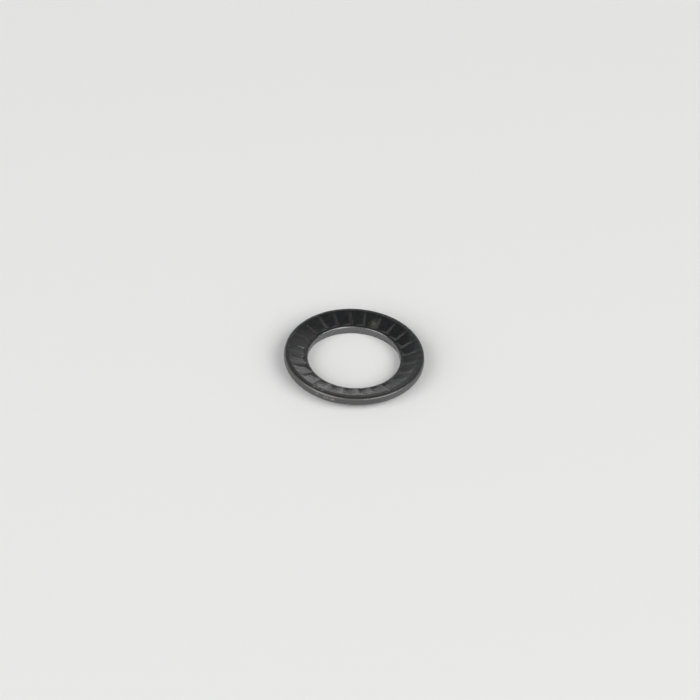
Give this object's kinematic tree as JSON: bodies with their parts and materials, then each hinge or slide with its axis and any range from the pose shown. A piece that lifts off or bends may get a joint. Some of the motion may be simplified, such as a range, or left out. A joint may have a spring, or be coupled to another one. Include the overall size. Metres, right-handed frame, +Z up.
{
  "type": "serrated conical spring washer",
  "caption": "Dished spring-steel washer with radial ratchet teeth on both faces, which keeps a screw head from working loose.",
  "frame": {"origin": "centre of the bore, in the plane that the lower bore edge rests on", "axes": "+Z up along the bore, out of the hollow face; +X along a tooth root of the hollow face"},
  "size_m": [0.01, 0.01, 0.0012],
  "materials": {
    "blackened_steel": "satin"
  },
  "bodies": {
    "root": {"washer": "blackened_steel"}
  },
  "joints": []
}
